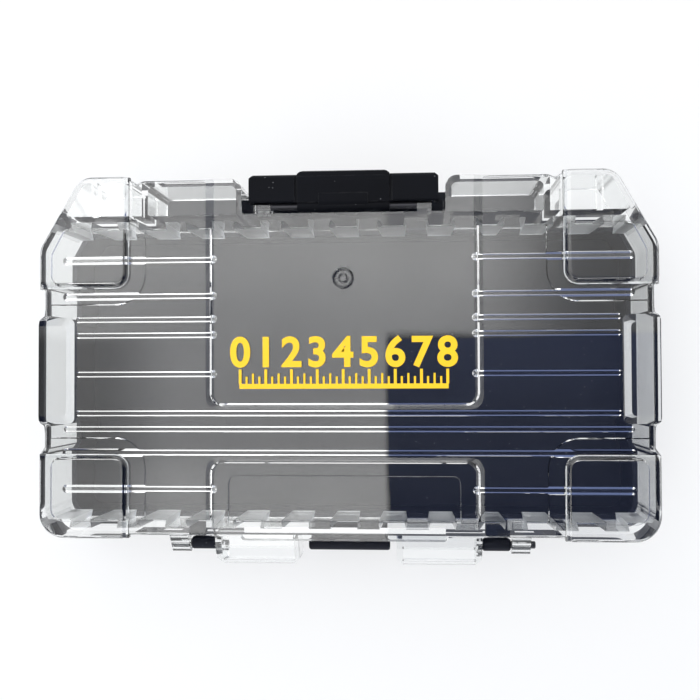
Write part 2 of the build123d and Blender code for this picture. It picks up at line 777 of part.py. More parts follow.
def latch_grip():
    """The proud, scooped grip in the middle, wider at its root."""
    front = latch_front_y - grip_proud
    root = latch_front_y + latch_wall / 2
    top_z = latch_top_z - grip_top_drop
    profile = [
        (root, top_z, 0.0),
        (front + small_radius, top_z, small_radius / 2),
        (front, latch_top_z - grip_shoulder, neck_radius),
        (front, latch_tongue_foot_z, small_radius),
        (root, latch_tongue_foot_z, 0.0),
    ]
    wide = grip_half + grip_flare
    grip = side_section(profile, -wide, wide)
    plan = mirrored([(grip_half, front, 0.0), (wide, latch_front_y, 0.0), (wide, root, 0.0)])
    grip &= prism(face_of(plan), 0, lid_top_z)
    scoop_z = (lid_top_z - grip_scoop_drop + latch_tongue_foot_z) / 2
    scoop_y = front + grip_scoop_depth - grip_scoop_radius
    grip -= rod(grip_scoop_radius, -grip_half + grip_rim, grip_half - grip_rim, scoop_y, scoop_z)
    return grip


def make_latch():
    """The latch lever."""
    body = latch_plate()
    body += latch_grip()
    wide = grip_half + grip_flare
    dip = [
        (latch_front_y + latch_front_radius, latch_top_z, 0.0),
        (latch_rear_y + cut_past, latch_top_z + cut_past, 0.0),
        (latch_rear_y + cut_past, latch_top_z - centre_dip, 0.0),
    ]
    body -= side_section(dip, -wide, wide)
    slit_low = latch_top_z - latch_wall / 2
    slit = block(wide, wide + slit_width, latch_front_y - cut_past, latch_rear_y, slit_low, latch_top_z)
    body -= both_sides(slit)
    body += rod(latch_knuckle_radius, -latch_knuckle_half, latch_knuckle_half, pivot_y, pivot_z)
    hidden_z = latch_top_z - latch_wall + fine_radius
    gusset = [
        (pivot_y - gusset_root, pivot_z + latch_knuckle_radius - fine_radius, 0.0),
        (pivot_y - latch_knuckle_radius + fine_radius, pivot_z - gusset_root, 0.0),
        (latch_rear_y - gusset_reach, hidden_z, 0.0),
        (latch_rear_y, hidden_z, 0.0),
    ]
    body += side_section(gusset, -gusset_half, gusset_half)
    hump = [
        (latch_rear_y - hump_reach, hidden_z, 0.0),
        (latch_rear_y - hump_reach, latch_top_z - hump_front_drop, fine_radius),
        (latch_rear_y, latch_top_z - hump_rear_drop, small_radius),
        (pivot_y + gusset_root / 2, pivot_z + latch_knuckle_radius - fine_radius, 0.0),
        (pivot_y, pivot_z + latch_knuckle_radius / 2, 0.0),
    ]
    body += side_section(hump, -gusset_half, gusset_half)
    nose_tip = latch_shelf_y + catch_pocket_depth - catch_reach - catch_gap
    nose_top = catch_z - catch_gap
    nose_back = latch_inner_y - latch_wall / 4
    nose = [
        (nose_back, nose_top + nose_root, 0.0),
        (nose_tip, nose_top, fine_radius / 2),
        (nose_tip, nose_top - nose_height / 2, fine_radius / 2),
        (nose_back, nose_top - nose_height, 0.0),
    ]
    body += side_section(nose, -catch_half, catch_half)
    bore = latch_pin_radius + latch_running_gap
    body -= rod(bore, -latch_knuckle_half - cut_past, latch_knuckle_half + cut_past, pivot_y, pivot_z)
    return body


def hinge_pin(outer_end):
    """A plain hinge pin that ends at this X on its outer side."""
    pin = rod(hinge_pin_radius, outer_end - pin_length, outer_end, hinge_y, hinge_z)
    return chamfer(pin.edges().filter_by(GeomType.CIRCLE), pin_end_chamfer)


parts = {
    "base_shell": make_base(),
    "lid_shell": make_lid(),
    "latch_lever": make_latch(),
    "hinge_pin_right": hinge_pin(knuckle_end),
    "hinge_pin_left": mirror(hinge_pin(knuckle_end + pin_shift), about=Plane.YZ),
    "latch_pin": rod(latch_pin_radius, -ear_end, ear_end, pivot_y, pivot_z),
}

os.makedirs("parts", exist_ok=True)
for name, part in parts.items():
    export_step(part, f"parts/{name}.step")
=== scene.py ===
"""Looks of the stackable tool box: clear lid, black tray and latch, printed rule, studio.

Lengths are metres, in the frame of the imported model. The latch side faces minus Y,
and the camera looks down on the lid from above with the latch at the top of the view.
"""

from math import pi

import bmesh
import bpy
from bpy.props import FloatProperty, FloatVectorProperty, IntProperty, PointerProperty
from mathutils import Matrix, Vector


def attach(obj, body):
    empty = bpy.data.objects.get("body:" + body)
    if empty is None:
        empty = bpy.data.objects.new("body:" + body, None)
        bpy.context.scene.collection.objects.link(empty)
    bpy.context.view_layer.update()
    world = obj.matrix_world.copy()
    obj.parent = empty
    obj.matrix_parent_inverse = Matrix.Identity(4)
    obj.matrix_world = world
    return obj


bl_info = {
    "name": "Stackable Tool Box",
    "version": (1, 0, 0),
    "blender": (4, 5, 0),
    "location": "View3D > Sidebar > Tool Box",
    "description": "Finishes, print and studio for a clear-lidded stackable tool box",
    "category": "Object",
}

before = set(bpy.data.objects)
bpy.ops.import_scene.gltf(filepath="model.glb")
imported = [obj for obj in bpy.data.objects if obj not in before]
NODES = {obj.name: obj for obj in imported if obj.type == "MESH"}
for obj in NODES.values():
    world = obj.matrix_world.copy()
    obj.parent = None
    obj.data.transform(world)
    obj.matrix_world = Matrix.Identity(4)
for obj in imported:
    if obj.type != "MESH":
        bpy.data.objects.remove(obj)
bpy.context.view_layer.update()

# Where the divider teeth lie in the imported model, from the middle of the box and from the floor
TOOTH_TIP_Y, TOOTH_ROOT_Y = 0.0566, 0.0597
TOOTH_FOOT_Z, TOOTH_TOP_Z = 0.0262, 0.0525

# Top of the centre panel that takes the print
PANEL_TOP_Z = 0.0568

# The rule: its base line, and the height and width of its ticks, by how many go to a step
CENTIMETRE = 0.01
TICKS_PER_CENTIMETRE = 4
BASE_LINE = 0.0019
BASE_PAST_ENDS = 0.0003
NUMERAL_GAP = 0.0078
CAP_SHARE = 0.7             # height of a numeral, as a share of the type's size
BOLDER_BY = 0.04            # how far the outline grows, as a share of the numeral's height
LONG_TICK, MIDDLE_TICK, SHORT_TICK = 0.0056, 0.0040, 0.0028
LONG_TICK_WIDTH, TICK_WIDTH = 0.0011, 0.0008

# What the clear plastic lets through to its shadow
SHADOW_COLOUR = (0.80, 0.81, 0.82, 1.0)

# The black plastic: its rubbed edges, its dust, and what the grain does to its roughness
EDGE_RADIUS = 0.0004
RUBBED_SMOOTHER_BY = 0.12
DUST_PER_METRE = 620.0
DUST_COLOUR = (0.24, 0.24, 0.25, 1.0)
GRAIN_ROUGHNESS = (-0.05, 0.07)

# The luminous ceiling, in metres from the middle of the box. Each edge or step of a field of
# light has its span first, and then the share of the light at the span's two ends.
CEILING_HALF = 0.6
RIGHT_EDGE = (0.36, 0.30), 0.0, 1.0
FRONT_LEFT_EDGE = (-0.44, -0.36), 0.0, 1.0
FRONT_STEP = (-0.19, -0.07), 0.32, 1.0
FRONT_TO_MIDDLE = (-0.12, -0.035), 1.08, 0.82
MIDDLE_LEFT_EDGE = (-0.004, 0.004), 0.0, 1.0
MIDDLE_STEP = (0.19, 0.27), 0.82, 0.42
REAR_STEP = (0.06, 0.10), 0.96, 1.28
FRONT_MEETS_MIDDLE = (-0.043, -0.028), 0.0, 1.0
CLOUDS = (0.3, 0.7), 0.88, 1.08     # the span is one of the noise's value
CORNER_STEP = (-0.04, 0.05)
CORNER_RISE = 1.7           # the dim corner is this much brighter where it meets the front field

# Height of the look into the room, from 0 at the horizon to 1 overhead, where walls end
WALLS_END = (0.45, 0.7)

# The floor: how far it lies below the box, and where it fades, as shares of its radius
FLOOR_DROP = 0.0002
FLOOR_FADE = (0.20, 0.60)

WHITE = (1.0, 1.0, 1.0, 1.0)
DIRECT_RAYS = ("Is Camera Ray", "Is Transmission Ray")
LOOKING_RAYS = ("Is Camera Ray", "Is Glossy Ray", "Is Transmission Ray")


class ClearPlasticSettings(bpy.types.PropertyGroup):
    """Finish of the clear lid."""

    tint: FloatVectorProperty(
        name="Tint", description="Colour that the clear plastic gives to what is seen through it",
        subtype="COLOR", size=3, min=0.0, max=1.0, default=(0.968, 0.978, 0.976),
    )
    refraction: FloatProperty(
        name="Refraction", description="Index of refraction of the clear plastic",
        min=1.3, max=1.8, default=1.57,
    )
    gloss_haze: FloatProperty(
        name="Haze", description="Roughness of the polished faces",
        subtype="FACTOR", min=0.0, max=0.3, default=0.008,
    )
    scratch_haze: FloatProperty(
        name="Scratch haze", description="Roughness that fine scratches add",
        subtype="FACTOR", min=0.0, max=0.5, default=0.06,
    )
    tooth_haze: FloatProperty(
        name="Tooth haze", description="Roughness of the divider teeth",
        subtype="FACTOR", min=0.0, max=0.6, default=0.3,
    )


class BlackPlasticSettings(bpy.types.PropertyGroup):
    """Finish of the black tray, latch and pins."""

    tray_colour: FloatVectorProperty(
        name="Tray", description="Colour of the tray",
        subtype="COLOR", size=3, min=0.0, max=1.0, default=(0.008, 0.009, 0.0145),
    )
    latch_colour: FloatVectorProperty(
        name="Latch", description="Colour of the latch",
        subtype="COLOR", size=3, min=0.0, max=1.0, default=(0.004, 0.0045, 0.0065),
    )
    pin_colour: FloatVectorProperty(
        name="Pins", description="Colour of the blackened pins",
        subtype="COLOR", size=3, min=0.0, max=1.0, default=(0.03, 0.03, 0.035),
    )
    tray_reflection: FloatProperty(
        name="Tray reflection", description="Strength of the tray's reflections, where 0.5 is plain",
        min=0.0, max=1.0, default=0.12,
    )
    latch_reflection: FloatProperty(
        name="Latch reflection", description="Strength of the latch's reflections, where 0.5 is plain",
        min=0.0, max=1.0, default=0.05,
    )
    grain_size: FloatProperty(
        name="Grain size", description="Size of the eroded grain in the moulded faces",
        subtype="DISTANCE", unit="LENGTH", min=0.0001, max=0.003, default=0.00045,
    )


class RuleSettings(bpy.types.PropertyGroup):
    """The centimetre rule printed on the lid."""

    colour: FloatVectorProperty(
        name="Print", description="Colour of the print",
        subtype="COLOR", size=3, min=0.0, max=1.0, default=(0.99, 0.585, 0.004),
    )
    centimetres: IntProperty(
        name="Centimetres", description="Length of the rule in whole centimetres",
        min=1, max=10, default=8,
    )
    numeral_height: FloatProperty(
        name="Numeral height", description="Height of the numerals",
        subtype="DISTANCE", unit="LENGTH", min=0.002, max=0.012, default=0.0112,
    )
    base_y: FloatProperty(
        name="Base line", description="Where the base line lies, from the middle of the box",
        subtype="DISTANCE", unit="LENGTH", min=-0.04, max=0.012, default=0.0048,
    )
    film: FloatProperty(
        name="Film", description="Thickness of the printed film",
        subtype="DISTANCE", unit="LENGTH", min=0.00001, max=0.0002, default=0.00004,
    )


class StageSettings(bpy.types.PropertyGroup):
    """Floor, lights and camera."""

    floor_colour: FloatVectorProperty(
        name="Floor", description="Colour of the floor",
        subtype="COLOR", size=3, min=0.0, max=1.0, default=(0.93, 0.93, 0.93),
    )
    floor_lift: FloatProperty(
        name="Floor lift", description="Share of plain white in the floor where it is looked at",
        subtype="FACTOR", min=0.0, max=1.0, default=0.6,
    )
    floor_radius: FloatProperty(
        name="Floor radius", description="Where the floor has faded into the background",
        subtype="DISTANCE", unit="LENGTH", min=0.3, max=3.0, default=1.1,
    )
    light_height: FloatProperty(
        name="Light height", description="Height of the luminous ceiling above the floor",
        subtype="DISTANCE", unit="LENGTH", min=0.45, max=1.5, default=0.58,
    )
    light_level: FloatProperty(
        name="Light level", description="Brightness of the ceiling's bright fields, where 1 is white",
        min=0.0, max=5.0, default=2.5,
    )
    corner_level: FloatProperty(
        name="Corner level", description="Brightness of the dim corner of the ceiling",
        min=0.0, max=2.0, default=0.24,
    )
    corner_colour: FloatVectorProperty(
        name="Corner colour", description="Colour of the dim corner of the ceiling",
        subtype="COLOR", size=3, min=0.0, max=1.0, default=(0.42, 0.53, 1.0),
    )
    room_colour: FloatVectorProperty(
        name="Room", description="Colour of the room's light",
        subtype="COLOR", size=3, min=0.0, max=1.0, default=(0.93, 0.965, 1.0),
    )
    wall_level: FloatProperty(
        name="Wall level", description="Brightness of the room's walls, where 1 is white",
        min=0.0, max=3.0, default=1.8,
    )
    top_level: FloatProperty(
        name="Top level", description="Brightness of the room above its walls, where 1 is white",
        min=0.0, max=2.0, default=0.06,
    )
    camera_place: FloatVectorProperty(
        name="Camera", description="Where the camera is",
        subtype="TRANSLATION", unit="LENGTH", size=3, default=(-0.0288, 0.0, 0.4328),
    )
    camera_right: FloatVectorProperty(
        name="Camera right", description="Direction to the right in the picture",
        subtype="DIRECTION", size=3, default=(-0.997578, 0.003704, -0.069456),
    )
    camera_down: FloatVectorProperty(
        name="Camera down", description="Direction down in the picture",
        subtype="DIRECTION", size=3, default=(0.005364, 0.999704, -0.023732),
    )
    camera_forward: FloatVectorProperty(
        name="Camera forward", description="Direction that the camera looks in",
        subtype="DIRECTION", size=3, default=(0.069347, -0.024047, -0.997303),
    )
    lens: FloatProperty(
        name="Lens", description="Focal length for a picture 36 mm wide",
        subtype="DISTANCE_CAMERA", unit="CAMERA", min=20.0, max=120.0, default=50.456,
    )


def group_sockets(group, inputs, outputs):
    """Gives a shader node group its named inputs and outputs."""
    for name, kind, value in inputs:
        socket = group.interface.new_socket(name=name, in_out="INPUT", socket_type=kind)
        if value is not None:
            socket.default_value = value
    for name, kind in outputs:
        group.interface.new_socket(name=name, in_out="OUTPUT", socket_type=kind)
    start = group.nodes.new("NodeGroupInput")
    end = group.nodes.new("NodeGroupOutput")
    return start, end


def node(tree, kind, values=None, **settings):
    """A shader node with its settings, and its input values by socket name or number."""
    made = tree.nodes.new(kind)
    for name, value in settings.items():
        setattr(made, name, value)
    for socket, value in (values or {}).items():
        made.inputs[socket].default_value = value
    return made


def join(tree, *pairs):
    """Links pairs of (output, input) sockets."""
    for source, target in pairs:
        tree.links.new(source, target)


def colour_mix(tree, **colours):
    """A mix of two colours, A and B."""
    return node(tree, "ShaderNodeMix", colours, data_type="RGBA")


def shade(colour, times=1.0, plus=0.0):
    """A colour made lighter or darker, as a colour socket takes it."""
    return (*[min(1.0, times * part + plus) for part in colour], 1.0)


def ramp(tree, value, span, low=0.0, high=1.0):
    """A smooth step of a value, from low at the span's start to high at its end."""
    step = node(tree, "ShaderNodeMapRange", {
        "From Min": span[0], "From Max": span[1], "To Min": low, "To Max": high,
    }, interpolation_type="SMOOTHSTEP")
    join(tree, (value, step.inputs["Value"]))
    return step.outputs["Result"]


def combined(tree, operation, values):
    """Several values joined by one operation, such as their product or their maximum."""
    last = values[0]
    for value in values[1:]:
        both = node(tree, "ShaderNodeMath", operation=operation)
        join(tree, (last, both.inputs[0]), (value, both.inputs[1]))
        last = both.outputs["Value"]
    return last


def within(tree, value, low, high):
    """A mask that is 1 where a value lies between two limits."""
    above = node(tree, "ShaderNodeMath", {1: low}, operation="GREATER_THAN")
    below = node(tree, "ShaderNodeMath", {1: high}, operation="LESS_THAN")
    join(tree, (value, above.inputs[0]), (value, below.inputs[0]))
    return combined(tree, "MULTIPLY", [above.outputs["Value"], below.outputs["Value"]])


def moulded_grain():
    """Spark-eroded grain: a fine pebbled height and a slow change of tone."""
    group = bpy.data.node_groups.new("moulded grain", "ShaderNodeTree")
    start, end = group_sockets(
        group,
        [("Vector", "NodeSocketVector", None), ("Per metre", "NodeSocketFloat", 2200.0)],
        [("Height", "NodeSocketFloat"), ("Tone", "NodeSocketFloat")],
    )
    pebbles = node(group, "ShaderNodeTexVoronoi", {"Smoothness": 0.7}, feature="SMOOTH_F1")
    fine = node(group, "ShaderNodeTexNoise", {"Detail": 3.0, "Roughness": 0.6})
    slow = node(group, "ShaderNodeTexNoise", {"Scale": 38.0, "Detail": 4.0, "Roughness": 0.55})
    spread = node(group, "ShaderNodeMapRange", {"From Min": 0.3, "From Max": 0.7})
    join(
        group,
        (start.outputs["Vector"], pebbles.inputs["Vector"]),
        (start.outputs["Per metre"], pebbles.inputs["Scale"]),
        (start.outputs["Vector"], fine.inputs["Vector"]),
        (start.outputs["Per metre"], fine.inputs["Scale"]),
        (combined(group, "ADD", [pebbles.outputs["Distance"], fine.outputs["Fac"]]), end.inputs["Height"]),
        (start.outputs["Vector"], slow.inputs["Vector"]),
        (slow.outputs["Fac"], spread.inputs["Value"]),
        (spread.outputs["Result"], end.inputs["Tone"]),
    )
    return group


def fine_scratches():
    """Hairline scratches that cross in three directions, as a mask from 0 to 1."""
    group = bpy.data.node_groups.new("fine scratches", "ShaderNodeTree")
    start, end = group_sockets(
        group,
        [("Vector", "NodeSocketVector", None), ("Share", "NodeSocketFloat", 0.5)],
        [("Mask", "NodeSocketFloat")],
    )
    hairs = []
    for turn, stretch in ((0.35, 900.0), (1.5, 700.0), (2.45, 1100.0)):
        lay = node(group, "ShaderNodeMapping", {
            "Rotation": (0.0, 0.0, turn), "Scale": (0.05, 1.0 / stretch, 0.02),
        }, vector_type="TEXTURE")
        wander = node(group, "ShaderNodeTexNoise", {"Scale": 1.0, "Detail": 2.0, "Distortion": 0.4})
        hair = node(group, "ShaderNodeMapRange", {"From Min": 0.69, "From Max": 0.74})
        join(
            group,
            (start.outputs["Vector"], lay.inputs["Vector"]),
            (lay.outputs["Vector"], wander.inputs["Vector"]),
            (wander.outputs["Fac"], hair.inputs["Value"]),
        )
        hairs.append(hair.outputs["Result"])
    patches = node(group, "ShaderNodeTexNoise", {"Scale": 24.0, "Detail": 2.0})
    where = node(group, "ShaderNodeMapRange", {"From Min": 0.42, "From Max": 0.62})
    mask = combined(group, "MULTIPLY", [
        combined(group, "MAXIMUM", hairs), where.outputs["Result"], start.outputs["Share"],
    ])
    join(
        group,
        (start.outputs["Vector"], patches.inputs["Vector"]),
        (patches.outputs["Fac"], where.inputs["Value"]),
        (mask, end.inputs["Mask"]),
    )
    return group


def worn_edges():
    """Edges rubbed smooth: a mask along the edges, and the softened normal."""
    group = bpy.data.node_groups.new("worn edges", "ShaderNodeTree")
    start, end = group_sockets(
        group,
        [("Vector", "NodeSocketVector", None), ("Radius", "NodeSocketFloat", EDGE_RADIUS)],
        [("Mask", "NodeSocketFloat"), ("Normal", "NodeSocketVector")],
    )
    soft = node(group, "ShaderNodeBevel", samples=4)
    plain = node(group, "ShaderNodeNewGeometry")
    agree = node(group, "ShaderNodeVectorMath", operation="DOT_PRODUCT")
    edge = node(group, "ShaderNodeMapRange", {"From Min": 0.995, "From Max": 0.9})
    broken = node(group, "ShaderNodeTexNoise", {"Scale": 260.0, "Detail": 4.0, "Roughness": 0.65})
    spread = node(group, "ShaderNodeMapRange", {"From Min": 0.38, "From Max": 0.6})
    worn = combined(group, "MULTIPLY", [edge.outputs["Result"], spread.outputs["Result"]])
    join(
        group,
        (start.outputs["Radius"], soft.inputs["Radius"]),
        (soft.outputs["Normal"], agree.inputs[0]),
        (plain.outputs["Normal"], agree.inputs[1]),
        (agree.outputs["Value"], edge.inputs["Value"]),
        (start.outputs["Vector"], broken.inputs["Vector"]),
        (broken.outputs["Fac"], spread.inputs["Value"]),
        (worn, end.inputs["Mask"]),
        (soft.outputs["Normal"], end.inputs["Normal"]),
    )
    return group


def settled_dust():
    """Sparse pale specks, as a mask."""
    group = bpy.data.node_groups.new("settled dust", "ShaderNodeTree")
    start, end = group_sockets(
        group,
        [("Vector", "NodeSocketVector", None), ("Specks", "NodeSocketFloat", DUST_PER_METRE)],
        [("Mask", "NodeSocketFloat")],
    )
    cells = node(group, "ShaderNodeTexVoronoi", feature="F1")
    speck = node(group, "ShaderNodeMapRange", {"From Min": 0.13, "From Max": 0.07})
    chosen = node(group, "ShaderNodeMath", {1: 0.86}, operation="GREATER_THAN")
    colour = node(group, "ShaderNodeSeparateColor")
    mask = combined(group, "MULTIPLY", [speck.outputs["Result"], chosen.outputs["Value"]])
    join(
        group,
        (start.outputs["Vector"], cells.inputs["Vector"]),
        (start.outputs["Specks"], cells.inputs["Scale"]),
        (cells.outputs["Distance"], speck.inputs["Value"]),
        (cells.outputs["Color"], colour.inputs["Color"]),
        (colour.outputs["Red"], chosen.inputs[0]),
        (mask, end.inputs["Mask"]),
    )
    return group


def shared_group(name, make):
    """The node group of this name, made on first use."""
    return bpy.data.node_groups.get(name) or make()


def placed(tree, group, **values):
    """A node group placed in a material, with its own values."""
    made = tree.nodes.new("ShaderNodeGroup")
    made.node_tree = group
    for name, value in values.items():
        made.inputs[name.replace("_", " ").capitalize()].default_value = value
    return made


def new_material(name):
    """An empty node material with its output."""
    material = bpy.data.materials.new(name)
    material.use_nodes = True
    tree = material.node_tree
    tree.nodes.clear()
    return material, tree, tree.nodes.new("ShaderNodeOutputMaterial")


def clear_plastic(settings):
    """Polished clear polycarbonate with hairline scratches, whose shadow is pale."""
    material, tree, out = new_material("clear polycarbonate")
    coords = node(tree, "ShaderNodeTexCoord")
    scratches = placed(tree, shared_group("fine scratches", fine_scratches), share=0.8)
    haze = node(tree, "ShaderNodeMapRange", {
        "To Min": settings.gloss_haze, "To Max": settings.gloss_haze + settings.scratch_haze,
    })
    ripple = node(tree, "ShaderNodeTexNoise", {"Scale": 42.0, "Detail": 1.5, "Roughness": 0.4})
    bump = node(tree, "ShaderNodeBump", {"Strength": 0.05, "Distance": 0.0006})
    plastic = node(tree, "ShaderNodeBsdfPrincipled", {
        "Base Color": (*settings.tint, 1.0),
        "IOR": settings.refraction,
        "Transmission Weight": 1.0,
    })
    split = node(tree, "ShaderNodeSeparateXYZ")
    depth = node(tree, "ShaderNodeMath", operation="ABSOLUTE")
    rough = node(tree, "ShaderNodeMath", {1: settings.tooth_haze}, operation="MULTIPLY")
    passing = node(tree, "ShaderNodeBsdfTransparent", {"Color": SHADOW_COLOUR})
    path = node(tree, "ShaderNodeLightPath")
    mix = node(tree, "ShaderNodeMixShader")
    join(
        tree,
        (coords.outputs["Object"], scratches.inputs["Vector"]),
        (scratches.outputs["Mask"], haze.inputs["Value"]),
        (coords.outputs["Object"], split.inputs["Vector"]),
        (split.outputs["Y"], depth.inputs[0]),
        (combined(tree, "MULTIPLY", [
            within(tree, depth.outputs["Value"], TOOTH_TIP_Y, TOOTH_ROOT_Y),
            within(tree, split.outputs["Z"], TOOTH_FOOT_Z, TOOTH_TOP_Z),
        ]), rough.inputs[0]),
        (
            combined(tree, "MAXIMUM", [haze.outputs["Result"], rough.outputs["Value"]]),
            plastic.inputs["Roughness"],
        ),
        (coords.outputs["Object"], ripple.inputs["Vector"]),
        (ripple.outputs["Fac"], bump.inputs["Height"]),
        (bump.outputs["Normal"], plastic.inputs["Normal"]),
        (path.outputs["Is Shadow Ray"], mix.inputs["Fac"]),
        (plastic.outputs["BSDF"], mix.inputs[1]),
        (passing.outputs["BSDF"], mix.inputs[2]),
        (mix.outputs["Shader"], out.inputs["Surface"]),
    )
    return material


def black_plastic(name, colour, settings, roughness, wear, reflection):
    """Black moulded plastic: eroded grain, rubbed edges and a little dust."""
    material, tree, out = new_material(name)
    coords = node(tree, "ShaderNodeTexCoord")
    grain = placed(tree, shared_group("moulded grain", moulded_grain), per_metre=1.0 / settings.grain_size)
    edges = placed(tree, shared_group("worn edges", worn_edges), radius=EDGE_RADIUS)
    dust = placed(tree, shared_group("settled dust", settled_dust), specks=DUST_PER_METRE)
    tone = colour_mix(tree, A=shade(colour, 0.8), B=shade(colour, 1.25))
    rubbed = colour_mix(tree, B=shade(colour, plus=wear))
    dusty = colour_mix(tree, B=DUST_COLOUR)
    least, most = (roughness + change for change in GRAIN_ROUGHNESS)
    shine = node(tree, "ShaderNodeMapRange", {"To Min": least, "To Max": most})
    smooth = node(tree, "ShaderNodeMath", {1: RUBBED_SMOOTHER_BY}, operation="MULTIPLY")
    left = node(tree, "ShaderNodeMath", operation="SUBTRACT")
    bump = node(tree, "ShaderNodeBump", {"Strength": 0.25, "Distance": 0.00005})
    plastic = node(tree, "ShaderNodeBsdfPrincipled", {"IOR": 1.5, "Specular IOR Level": reflection})
    join(
        tree,
        (coords.outputs["Object"], grain.inputs["Vector"]),
        (coords.outputs["Object"], edges.inputs["Vector"]),
        (coords.outputs["Object"], dust.inputs["Vector"]),
        (grain.outputs["Tone"], tone.inputs["Factor"]),
        (tone.outputs["Result"], rubbed.inputs["A"]),
        (edges.outputs["Mask"], rubbed.inputs["Factor"]),
        (rubbed.outputs["Result"], dusty.inputs["A"]),
        (dust.outputs["Mask"], dusty.inputs["Factor"]),
        (dusty.outputs["Result"], plastic.inputs["Base Color"]),
        (grain.outputs["Tone"], shine.inputs["Value"]),
        (edges.outputs["Mask"], smooth.inputs[0]),
        (shine.outputs["Result"], left.inputs[0]),
        (smooth.outputs["Value"], left.inputs[1]),
        (left.outputs["Value"], plastic.inputs["Roughness"]),
        (grain.outputs["Height"], bump.inputs["Height"]),
        (edges.outputs["Normal"], bump.inputs["Normal"]),
        (bump.outputs["Normal"], plastic.inputs["Normal"]),
        (plastic.outputs["BSDF"], out.inputs["Surface"]),
    )
    return material


def blackened_steel(colour):
    """Drawn steel rod, blackened, with faint marks along it."""
    material, tree, out = new_material("blackened steel")
    coords = node(tree, "ShaderNodeTexCoord")
    lay = node(tree, "ShaderNodeMapping", {"Scale": (60.0, 1800.0, 1800.0)})
    drawn = node(tree, "ShaderNodeTexNoise", {"Scale": 1.0, "Detail": 3.0})
    tone = colour_mix(tree, A=shade(colour, 0.7), B=shade(colour, 1.7))
    shine = node(tree, "ShaderNodeMapRange", {"To Min": 0.28, "To Max": 0.46})
    bump = node(tree, "ShaderNodeBump", {"Strength": 0.2, "Distance": 0.00003})
    steel = node(tree, "ShaderNodeBsdfPrincipled", {"Metallic": 0.6})
    join(
        tree,
        (coords.outputs["Object"], lay.inputs["Vector"]),
        (lay.outputs["Vector"], drawn.inputs["Vector"]),
        (drawn.outputs["Fac"], tone.inputs["Factor"]),
        (tone.outputs["Result"], steel.inputs["Base Color"]),
        (drawn.outputs["Fac"], shine.inputs["Value"]),
        (shine.outputs["Result"], steel.inputs["Roughness"]),
        (drawn.outputs["Fac"], bump.inputs["Height"]),
        (bump.outputs["Normal"], steel.inputs["Normal"]),
        (steel.outputs["BSDF"], out.inputs["Surface"]),
    )
    return material


def printed_film(colour):
    """Screen-printed ink: nearly even, with a slight mottle and pinholes."""
    material, tree, out = new_material("printed ink")
    coords = node(tree, "ShaderNodeTexCoord")
    mottle = node(tree, "ShaderNodeTexNoise", {"Scale": 420.0, "Detail": 3.0, "Roughness": 0.6})
    tone = colour_mix(tree, A=shade(colour, 0.93), B=shade(colour, 1.05))
    shine = node(tree, "ShaderNodeMapRange", {"To Min": 0.34, "To Max": 0.5})
    bump = node(tree, "ShaderNodeBump", {"Strength": 0.15, "Distance": 0.00002})
    ink = node(tree, "ShaderNodeBsdfPrincipled", {"IOR": 1.48})
    join(
        tree,
        (coords.outputs["Object"], mottle.inputs["Vector"]),
        (mottle.outputs["Fac"], tone.inputs["Factor"]),
        (tone.outputs["Result"], ink.inputs["Base Color"]),
        (mottle.outputs["Fac"], shine.inputs["Value"]),
        (shine.outputs["Result"], ink.inputs["Roughness"]),
        (mottle.outputs["Fac"], bump.inputs["Height"]),
        (bump.outputs["Normal"], ink.inputs["Normal"]),
        (ink.outputs["BSDF"], out.inputs["Surface"]),
    )
    return material


def dress(name, material):
    """Gives a CAD node its finish in every slot."""
    for slot in NODES[name].material_slots:
        slot.material = material


def finished_piece(name, mesh_in_work, material, body):
    """Turns a bmesh into a piece that rides on a body."""
    bmesh.ops.remove_doubles(mesh_in_work, verts=mesh_in_work.verts, dist=1e-7)
    bmesh.ops.recalc_face_normals(mesh_in_work, faces=mesh_in_work.faces)
    mesh = bpy.data.meshes.new(name)
    mesh_in_work.to_mesh(mesh)
    mesh_in_work.free()
    mesh.materials.append(material)
    piece = bpy.data.objects.new(name, mesh)
    bpy.context.scene.collection.objects.link(piece)
    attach(piece, body)
    return piece


def add_bar(work, middle, size):
    """A thin bar of the print."""
    place = Matrix.Translation(middle) @ Matrix.Diagonal((*size, 1.0))
    bmesh.ops.create_cube(work, size=1.0, matrix=place)


def tick_size(step):
    """Height and width of a tick: tallest at a whole centimetre, shorter at a half and a quarter."""
    if step % TICKS_PER_CENTIMETRE == 0:
        return LONG_TICK, LONG_TICK_WIDTH
    if step % (TICKS_PER_CENTIMETRE // 2) == 0:
        return MIDDLE_TICK, TICK_WIDTH
    return SHORT_TICK, TICK_WIDTH


def add_numeral(work, text, x, y, z, height, film):
    """A numeral, upright to someone at the hinge side, centred at x."""
    curve = bpy.data.curves.new("numeral", "FONT")
    curve.body = text
    curve.size = height / CAP_SHARE
    curve.align_x = "CENTER"
    curve.extrude = film / 2
    curve.resolution_u = 6
    curve.offset = BOLDER_BY * height
    writer = bpy.data.objects.new("numeral", curve)
    mesh = bpy.data.meshes.new_from_object(writer)
    mesh.transform(Matrix.Translation((x, y, z)) @ Matrix.Rotation(pi, 4, "Z"))
    work.from_mesh(mesh)
    bpy.data.objects.remove(writer)
    bpy.data.curves.remove(curve)
    bpy.data.meshes.remove(mesh)


class TOOLBOX_OT_clear_lid(bpy.types.Operator):
    """Give the lid its clear plastic"""

    bl_idname = "toolbox.clear_lid"
    bl_label = "Clear Lid"

    def execute(self, context):
        dress("lid_shell", clear_plastic(context.scene.toolbox_clear))
        return {"FINISHED"}


